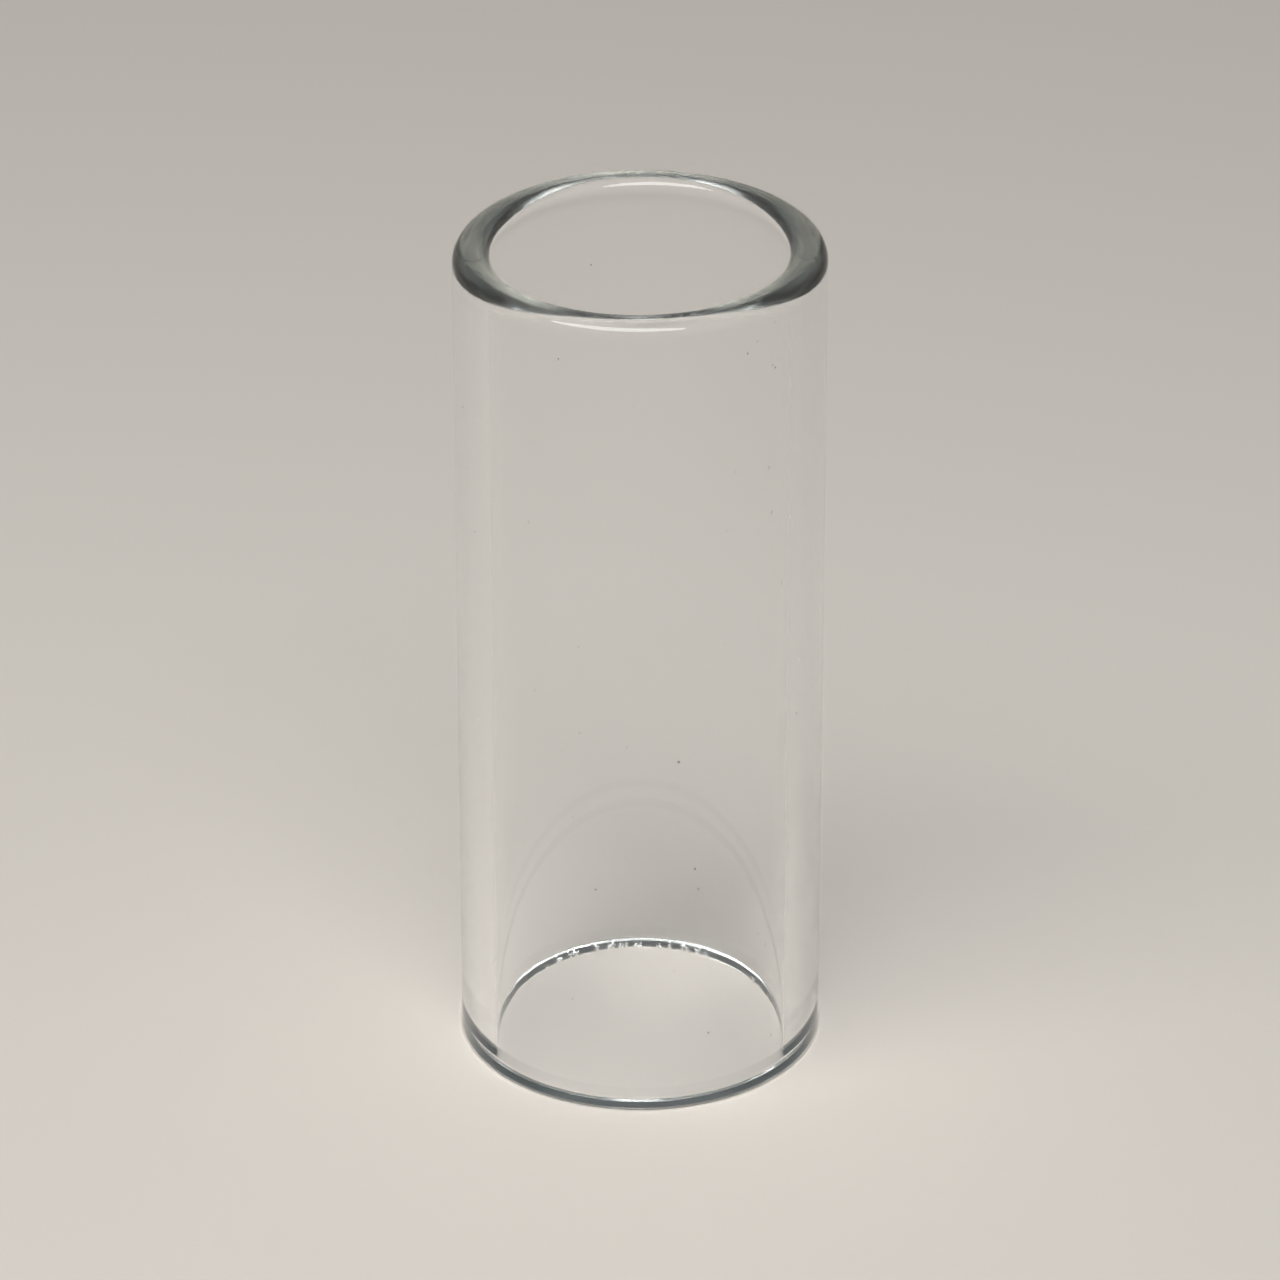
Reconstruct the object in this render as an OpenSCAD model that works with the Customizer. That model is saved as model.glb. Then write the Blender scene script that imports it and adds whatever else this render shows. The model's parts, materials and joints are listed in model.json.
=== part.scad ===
// Glass guitar slide: a straight, clear glass tube, open at both ends, worn on a finger.
// It stands on its ground foot with its fire-polished lip up.
// Millimetres, +Z up along the tube, origin at the centre of the foot.

/* [Tube] */
// Length of the tube, foot to lip
tube_length = 60; // [28:1:75]
// Outside diameter of the barrel
outer_d = 25; // [22:0.5:32]
// Thickness of the glass wall
wall = 2.4; // [2.2:0.1:4]

/* [Ends] */
// Radius that fire polishing leaves on the lip's outside edge
lip_outer_r = 1.2; // [0.3:0.05:1.2]
// Radius that fire polishing leaves on the lip's edge into the bore
lip_inner_r = 1.0; // [0.3:0.05:1]
// Radius of the stoned edges around the ground foot
foot_edge_r = 0.3; // [0.1:0.05:0.6]

/* [Hidden] */
$fn = 96;
outer_r = outer_d / 2;
bore_r = outer_r - wall;
GLASS = [0.78, 0.80, 0.78, 0.45];

// What rounding by radius r takes off a corner at the origin that fills the quadrant -X, -Y.
// sx and sy turn it to the other corners.
module corner_waste(r, sx, sy) {
    mirror([sx < 0 ? 1 : 0, 0])
        mirror([0, sy < 0 ? 1 : 0])
            translate([-r, -r])
                difference() {
                    square([2 * r, 2 * r]);
                    circle(r);
                }
}

// The wall cut through along the tube: X is the distance from the axis, Y the height
module wall_section() {
    difference() {
        translate([bore_r, 0]) square([wall, tube_length]);
        translate([outer_r, tube_length]) corner_waste(lip_outer_r, 1, 1);
        translate([bore_r, tube_length]) corner_waste(lip_inner_r, -1, 1);
        translate([outer_r, 0]) corner_waste(foot_edge_r, 1, -1);
        translate([bore_r, 0]) corner_waste(foot_edge_r, -1, -1);
    }
}

// The slide itself, one drawn piece of glass
module glass_tube() {
    color(GLASS)
        rotate_extrude()
            wall_section();
}

glass_tube();
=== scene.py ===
# A clear glass guitar slide: one drawn tube with a flame-polished lip and a ground foot, on a plain floor.
import json
import math
import random

import bpy
import numpy as np
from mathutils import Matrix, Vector, noise

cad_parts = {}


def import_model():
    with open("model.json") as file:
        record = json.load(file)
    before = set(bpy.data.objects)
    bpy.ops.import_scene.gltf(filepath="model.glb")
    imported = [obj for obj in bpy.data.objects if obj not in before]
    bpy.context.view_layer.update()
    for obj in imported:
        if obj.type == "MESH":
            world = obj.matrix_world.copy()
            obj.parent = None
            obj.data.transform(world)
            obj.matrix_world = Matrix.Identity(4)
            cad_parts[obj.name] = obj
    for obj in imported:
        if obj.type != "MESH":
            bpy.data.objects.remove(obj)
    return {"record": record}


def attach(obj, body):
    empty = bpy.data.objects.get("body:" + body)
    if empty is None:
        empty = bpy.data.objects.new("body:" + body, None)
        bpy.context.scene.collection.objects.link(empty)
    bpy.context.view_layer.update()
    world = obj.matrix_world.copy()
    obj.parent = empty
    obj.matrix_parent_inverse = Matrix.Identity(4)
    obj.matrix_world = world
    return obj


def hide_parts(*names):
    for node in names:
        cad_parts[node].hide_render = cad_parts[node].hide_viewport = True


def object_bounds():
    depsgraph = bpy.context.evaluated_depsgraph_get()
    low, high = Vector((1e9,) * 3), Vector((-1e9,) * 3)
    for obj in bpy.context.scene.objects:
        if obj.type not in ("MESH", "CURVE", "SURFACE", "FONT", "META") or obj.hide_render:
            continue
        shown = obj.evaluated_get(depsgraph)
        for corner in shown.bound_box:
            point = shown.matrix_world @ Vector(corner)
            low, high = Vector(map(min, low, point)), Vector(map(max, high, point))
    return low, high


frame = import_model()
cad_low, cad_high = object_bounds()

MM = 0.001

# The tube's own sizes come from the frame.
OUTER_R = (cad_high.x - cad_low.x) / 2
LENGTH = cad_high.z
FINGER_BORE = next(m for m in frame["record"]["mounts"] if m["name"] == "finger_bore")
BORE_R = FINGER_BORE["dims"]["r_mm"] * MM
MID_WALL_R = (BORE_R + OUTER_R) / 2

# The radii of the section's four rounded edges.
LIP_OUTER_R = 1.25 * MM
LIP_INNER_R = 1.02 * MM
FOOT_OUTER_R = 0.3 * MM
FOOT_INNER_R = 0.25 * MM

# What the flame did near the lip: how far down the glass moved, the bead, and the lip's lean and sag.
MELT_REACH = 4 * MM
BEAD = 0.11 * MM
BEAD_BELOW_TOP = 0.74 * MM
BEAD_WIDTH = 0.66 * MM
BORE_UNEVENNESS = 0.05 * MM
OUTSIDE_SHRINKAGE = 0.06 * MM
LIP_LEAN = 0.10 * MM
LIP_HIGH_SIDE = 0.35
LIP_SAG = 0.03 * MM

# How far drawing left the wall uneven.
BORE_WAVES = 0.020 * MM
OUTSIDE_WAVES = 0.008 * MM

# What grinding and use did to the foot's inner edge, which is worst at the back. A cut goes outward and up.
BACK = math.pi / 2
CHIPS = 30
CHIP_SEED = 4
CHIP_REACH = 0.50 * MM
WEAR_DEPTH = 0.016 * MM
WEAR_REACH = 1.0 * MM
LEAST_WEAR = 0.08
CUT_OUTWARD = 0.8
CUT_UPWARD = 0.6

# The mesh: lines of points round the tube, how much closer they stand at the back, and rows up the outside.
SEGMENTS = 560
BACK_CROWDING = 0.6
OUTSIDE_ROWS = 90

# The glass: roughness where it is clean and what a smear and a dust speck add, and how far seeds stand out.
CLEAN_ROUGHNESS = 0.004
SMEAR_ROUGHNESS = 0.05
DUST_ROUGHNESS = 0.3
SEED_RELIEF = 6.0
RELIEF_DEPTH = 0.0015 * MM
CLEAR = (1.0, 1.0, 1.0)
DUST_COLOUR = (0.22, 0.20, 0.18)
GLASS_TINT = (0.92, 0.929, 0.925)
TINT_DENSITY = 55.0

# The plain studio: its colours, and where one gives way to the next, as parts of a direction of length 1.
FLOOR_COLOUR = (0.74, 0.685, 0.625)
DIM_ROOM = (0.04, 0.055, 0.06)
BACKDROP = (0.225, 0.215, 0.20)
CEILING = (0.48, 0.50, 0.51)
FRONT_LIGHT = (0.50, 0.51, 0.51)
BACKDROP_TOP = (0.34, 0.44)
CEILING_EDGE = (0.76, 0.88)
FRONT_LIGHT_EDGE = (0.10, -0.35)


# ---------------------------------------------------------------- node helpers
def new_tree(owner):
    """An empty node tree on a material or world."""
    owner.use_nodes = True
    owner.node_tree.nodes.clear()
    return owner.node_tree


def put(tree, kind, **sockets):
    """Adds a node and sets or links its inputs by name; 'p_' names are the node's own properties."""
    node = tree.nodes.new(kind)
    for name, value in sockets.items():
        if name.startswith("p_"):
            setattr(node, name[2:], value)
    for name, value in sockets.items():
        if name.startswith("p_"):
            continue
        key = int(name[1:]) if name[0] == "i" and name[1:].isdigit() else name.replace("_", " ")
        socket = node.inputs[key]
        if isinstance(value, bpy.types.NodeSocket):
            tree.links.new(value, socket)
        else:
            socket.default_value = value
    return node


def maths(tree, operation, a, b=0.0, c=0.0):
    """The result of one Math node."""
    return put(tree, "ShaderNodeMath", p_operation=operation, i0=a, i1=b, i2=c).outputs[0]


def smooth_step(tree, value, low, high):
    """0 at low and 1 at high, smoothly between; low may be the greater, and then it falls."""
    node = put(tree, "ShaderNodeMapRange", p_interpolation_type="SMOOTHSTEP", i0=value)
    node.inputs["From Min"].default_value = low
    node.inputs["From Max"].default_value = high
    return node.outputs[0]


def step(tree, value, edge):
    """0 below edge and 1 above it."""
    return maths(tree, "GREATER_THAN", value, edge)


def mix_colour(tree, factor, a, b):
    """Colour a at factor 0 and colour b at factor 1."""
    node = tree.nodes.new("ShaderNodeMix")
    node.data_type = "RGBA"
    for socket, value in ((node.inputs[0], factor), (node.inputs[6], a), (node.inputs[7], b)):
        if isinstance(value, bpy.types.NodeSocket):
            tree.links.new(value, socket)
        else:
            socket.default_value = value if isinstance(value, float) else (*value, 1)
    return node.outputs[2]


# ---------------------------------------------------------------- the glass tube
def arc(centre_r, centre_z, radius, start, end, steps):
    """Points of the section along an arc, start and end in degrees."""
    angles = np.radians(np.linspace(start, end, steps + 1))
    return [(centre_r + radius * math.cos(a), centre_z + radius * math.sin(a)) for a in angles]


def bore_heights():
    """Heights of the bore's rows from the lip down, close together at the bead and at the foot's chips."""
    bead_end = LENGTH - MELT_REACH
    chip_top = 0.9 * MM
    bead_rows, plain_rows, chip_rows = 26, 60, 12
    heights = list(np.linspace(LENGTH - LIP_INNER_R, bead_end, bead_rows)[1:])
    heights += list(np.linspace(bead_end, chip_top, plain_rows)[1:])
    heights += list(np.linspace(chip_top, FOOT_INNER_R, chip_rows)[1:-1])
    return heights


def section():
    """The wall's closed outline as (distance from the axis, height), anticlockwise from the foot."""
    foot_in, foot_out = BORE_R + FOOT_INNER_R, OUTER_R - FOOT_OUTER_R
    points = arc(foot_out, FOOT_OUTER_R, FOOT_OUTER_R, -90, 0, 10)
    points += [(OUTER_R, z) for z in np.linspace(FOOT_OUTER_R, LENGTH - LIP_OUTER_R, OUTSIDE_ROWS)[1:-1]]
    points += arc(OUTER_R - LIP_OUTER_R, LENGTH - LIP_OUTER_R, LIP_OUTER_R, 0, 90, 20)
    points += arc(BORE_R + LIP_INNER_R, LENGTH - LIP_INNER_R, LIP_INNER_R, 90, 180, 14)
    points += [(BORE_R, z) for z in bore_heights()]
    points += arc(foot_in, FOOT_INNER_R, FOOT_INNER_R, 180, 270, 10)
    return points


def ring_noise(angle, waves, seed):
    """Smooth noise around the ring, about -1 to 1, with so many waves in a turn."""
    reach = waves / (2 * math.pi)
    return 2 * noise.noise(Vector((math.cos(angle) * reach, math.sin(angle) * reach, 7.3 * seed)))


def bump(value, centre, width):
    """A smooth hump, 1 at its centre."""
    return math.exp(-(((value - centre) / width) ** 2))


def fire_polish(r, z, angle):
    """Moves a point to where the flame left it: a faint bead in the bore and an uneven, leaning lip."""
    top = LENGTH - z
    melted = max(0.0, 1 - top / MELT_REACH) ** 2
    if r < MID_WALL_R:
        bead = BEAD * bump(top, BEAD_BELOW_TOP, BEAD_WIDTH)
        r -= bead * (1 + 0.25 * ring_noise(angle, waves=5, seed=1))
        r += BORE_UNEVENNESS * melted * ring_noise(angle, waves=3, seed=2)
    else:
        r -= OUTSIDE_SHRINKAGE * melted * (0.5 + 0.5 * ring_noise(angle, waves=4, seed=3))
    lean = LIP_LEAN * (1 - math.cos(angle - LIP_HIGH_SIDE))
    sag = LIP_SAG * (1 + ring_noise(angle, waves=4, seed=4))
    z -= melted * (lean + sag)
    return r, z


def draw_lines(r, z, angle):
    """The wall's slight unevenness from drawing the tube: it changes around it and hardly along it."""
    inner = r < MID_WALL_R
    depth = BORE_WAVES if inner else OUTSIDE_WAVES
    broad_seed, fine_seed = (5, 7) if inner else (6, 8)
    wander = 0.25 * math.sin(z / (17 * MM) + 3 * angle)
    broad = ring_noise(angle + 0.02 * wander, waves=6, seed=broad_seed)
    fine = 0.15 * ring_noise(angle, waves=17, seed=fine_seed)
    return r - depth * (1 + (broad + fine))


def make_chips():
    """Small nicks along the foot's inner edge: (angle, half width, depth) of each."""
    random.seed(CHIP_SEED)
    chips = []
    for _ in range(CHIPS):
        angle = BACK + random.gauss(0, 0.5)
        half_width = random.uniform(0.05, 0.15) * MM
        depth = random.uniform(0.08, 0.22) * MM
        chips.append((angle, half_width, depth))
    return chips


def angle_between(a, b):
    """How far apart two angles are, from 0 to pi."""
    return abs((a - b + math.pi) % (2 * math.pi) - math.pi)


def ground_edge(r, z, angle, chips):
    """Roughens the foot's inner edge, as grinding leaves it, and takes the nicks out of it."""
    reach = math.hypot(r - BORE_R, z)
    if reach > WEAR_REACH or r > BORE_R + 0.8 * MM:
        return r, z
    worn = LEAST_WEAR + (1 - LEAST_WEAR) * bump(angle_between(angle, BACK), 0.0, 0.9)
    grain = 1 + ring_noise(angle, waves=90, seed=9)
    cut = WEAR_DEPTH * worn * grain * bump(reach, 0.15 * MM, 0.25 * MM)
    for centre, half_width, depth in chips:
        away = angle_between(angle, centre) * BORE_R
        scoop = 1 - (away / half_width) ** 4 - (reach / CHIP_REACH) ** 2
        cut += depth * max(0.0, scoop)
    return r + CUT_OUTWARD * cut, z + CUT_UPWARD * cut


def ring_angle(index):
    """The angle of a line of points; they stand closest at the back, where the foot is chipped."""
    turn = 2 * math.pi * index / SEGMENTS
    return BACK + turn - BACK_CROWDING * math.sin(turn)


def make_tube():
    """The whole tube as one closed mesh: the section carried round the axis, a line of points at a time."""
    points = section()
    chips = make_chips()
    n = len(points)
    verts, faces = [], []
    for s in range(SEGMENTS):
        a = ring_angle(s)
        for r, z in points:
            r, z = fire_polish(draw_lines(r, z, a), z, a)
            r, z = ground_edge(r, z, a, chips)
            verts.append((r * math.cos(a), r * math.sin(a), z))
    for s in range(SEGMENTS):
        t = (s + 1) % SEGMENTS
        for i in range(n):
            j = (i + 1) % n
            faces.append((s * n + i, t * n + i, t * n + j, s * n + j))
    mesh = bpy.data.meshes.new("clear_glass_tube")
    mesh.from_pydata(verts, [], faces)
    mesh.shade_smooth()
    mesh.validate()
    tube = bpy.data.objects.new("clear_glass_tube", mesh)
    bpy.context.scene.collection.objects.link(tube)
    return tube


def unrolled(tree):
    """The place on the wall in millimetres, round and up; the bore's places are far from the outside's."""
    coordinates = put(tree, "ShaderNodeTexCoord").outputs["Object"]
    place = put(tree, "ShaderNodeSeparateXYZ", i0=coordinates).outputs
    x_squared = maths(tree, "POWER", place["X"], 2.0)
    y_squared = maths(tree, "POWER", place["Y"], 2.0)
    radius = maths(tree, "SQRT", maths(tree, "ADD", x_squared, y_squared))
    outside = step(tree, radius, MID_WALL_R)
    turn = maths(tree, "ARCTAN2", place["Y"], place["X"])
    set_apart = maths(tree, "MULTIPLY", outside, 500.0)
    around = maths(tree, "MULTIPLY_ADD", turn, OUTER_R / MM, set_apart)
    height = maths(tree, "DIVIDE", place["Z"], MM)
    return around, height


def specks(tree, around, height, spacing, size, share):
    """1 in small round specks: about one to each square of the spacing, in that share of the squares."""
    flat = put(tree, "ShaderNodeCombineXYZ", X=around, Y=height).outputs[0]
    cells = put(tree, "ShaderNodeTexVoronoi", p_voronoi_dimensions="2D", Vector=flat, Scale=1 / spacing)
    chance = put(tree, "ShaderNodeSeparateColor", i0=cells.outputs["Color"]).outputs
    reach = maths(tree, "MULTIPLY_ADD", chance[1], size / spacing, 0.4 * size / spacing)
    inside = smooth_step(tree, maths(tree, "DIVIDE", cells.outputs["Distance"], reach), 1.0, 0.6)
    return maths(tree, "MULTIPLY", inside, step(tree, chance[0], 1 - share))


def streaks(tree, around, height, stretch, scale, detail):
    """Noise over the wall, drawn out along the tube: the smaller the stretch, the longer it runs."""
    along = maths(tree, "MULTIPLY", height, stretch)
    place = put(tree, "ShaderNodeCombineXYZ", X=around, Y=along).outputs[0]
    cloud = put(tree, "ShaderNodeTexNoise", p_noise_dimensions="2D", Vector=place, Scale=scale, Detail=detail)
    return cloud.outputs[0]


def glass_material():
    """Clear glass with drawing lines along it, handling smears, tiny seeds and a few dust specks."""
    mat = bpy.data.materials.new("clear_glass")
    tree = new_tree(mat)
    around, height = unrolled(tree)
    dust = specks(tree, around, height, spacing=7.0, size=0.09, share=0.24)
    seeds = specks(tree, around, height, spacing=4.0, size=0.09, share=0.30)
    lines = streaks(tree, around, height, stretch=0.03, scale=0.9, detail=0.0)
    clouds = streaks(tree, around, height, stretch=0.4, scale=0.22, detail=1.0)
    smear = smooth_step(tree, clouds, 0.50, 0.72)
    smeared = maths(tree, "MULTIPLY_ADD", smear, SMEAR_ROUGHNESS, CLEAN_ROUGHNESS)
    dusty = maths(tree, "MULTIPLY", dust, DUST_ROUGHNESS)
    roughness = maths(tree, "ADD", smeared, dusty)
    relief = maths(tree, "MULTIPLY_ADD", seeds, SEED_RELIEF, lines)
    normal = put(tree, "ShaderNodeBump", Strength=1.0, Distance=RELIEF_DEPTH, Height=relief).outputs[0]
    colour = mix_colour(tree, dust, CLEAR, DUST_COLOUR)
    glass = put(
        tree,
        "ShaderNodeBsdfPrincipled",
        Base_Color=colour,
        Roughness=roughness,
        IOR=1.5,
        Transmission_Weight=1.0,
        Normal=normal,
    )
    out = put(tree, "ShaderNodeOutputMaterial", Surface=glass.outputs[0])
    absorb = put(tree, "ShaderNodeVolumeAbsorption", Color=(*GLASS_TINT, 1), Density=TINT_DENSITY)
    tree.links.new(absorb.outputs[0], out.inputs["Volume"])
    return mat


# ---------------------------------------------------------------- the stage
def floor():
    """One plain pale floor, which the camera and the glass see alike."""
    just_under = (0, 0, -0.02 * MM)
    bpy.ops.mesh.primitive_circle_add(vertices=128, radius=8, fill_type="NGON", location=just_under)
    ob = bpy.context.object
    ob.name = "floor"
    mat = bpy.data.materials.new("pale_floor")
    tree = new_tree(mat)
    matt = put(tree, "ShaderNodeBsdfDiffuse", Color=(*FLOOR_COLOUR, 1))
    put(tree, "ShaderNodeOutputMaterial", Surface=matt.outputs[0])
    ob.data.materials.append(mat)


def world():
    """A plain studio: a low backdrop all round, a soft light in front, a dim room behind, a soft ceiling."""
    made = bpy.data.worlds.new("studio")
    bpy.context.scene.world = made
    tree = new_tree(made)
    way = put(tree, "ShaderNodeTexCoord").outputs["Generated"]
    part = put(tree, "ShaderNodeSeparateXYZ", i0=way).outputs
    up = part["Z"]
    over_backdrop = mix_colour(tree, smooth_step(tree, part["Y"], *FRONT_LIGHT_EDGE), DIM_ROOM, FRONT_LIGHT)
    room = mix_colour(tree, smooth_step(tree, up, *BACKDROP_TOP), BACKDROP, over_backdrop)
    room = mix_colour(tree, smooth_step(tree, up, *CEILING_EDGE), room, CEILING)
    glow = put(tree, "ShaderNodeBackground", Color=room, Strength=1.0)
    put(tree, "ShaderNodeOutputWorld", Surface=glow.outputs[0])


def lamp(name, direction, distance, size, power):
    """A soft area light at that distance from the tube's foot, facing it; size is its width and depth."""
    data = bpy.data.lights.new(name, "AREA")
    data.shape = "ELLIPSE"
    data.size, data.size_y = size
    data.energy = power
    ob = bpy.data.objects.new(name, data)
    bpy.context.scene.collection.objects.link(ob)
    ob.location = Vector(direction).normalized() * distance
    ob.rotation_euler = Vector(direction).to_track_quat("Z", "Y").to_euler()


def camera():
    """The camera looks down at the middle of the tube from the front."""
    elevation = math.radians(28.5)
    distance = 0.48
    data = bpy.data.cameras.new("camera")
    data.lens = 198
    data.clip_end = 50
    ob = bpy.data.objects.new("camera", data)
    bpy.context.scene.collection.objects.link(ob)
    back = Vector((0, -math.cos(elevation), math.sin(elevation)))
    ob.location = Vector((0, 0, LENGTH / 2)) + back * distance
    ob.rotation_euler = back.to_track_quat("Z", "Y").to_euler()
    bpy.context.scene.camera = ob


def light_paths():
    """Lets light pass all the way through the glass, so that the floor inside the tube is lit through it."""
    bounces = 40
    scene = bpy.context.scene
    scene.cycles.max_bounces = bounces
    scene.cycles.transmission_bounces = bounces
    scene.cycles.glossy_bounces = bounces
    scene.cycles.caustics_refractive = True
    scene.cycles.caustics_reflective = True
    scene.cycles.sample_clamp_indirect = 0.0
    scene.cycles.blur_glossy = 0.0


bpy.context.scene.view_settings.view_transform = "Standard"
light_paths()

tube = make_tube()
tube.data.materials.append(glass_material())
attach(tube, "root")
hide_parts("glass_tube")

camera()
floor()
world()
lamp("softbox", direction=(-0.14, -0.42, 0.91), distance=0.45, size=(0.48, 0.165), power=1.34)
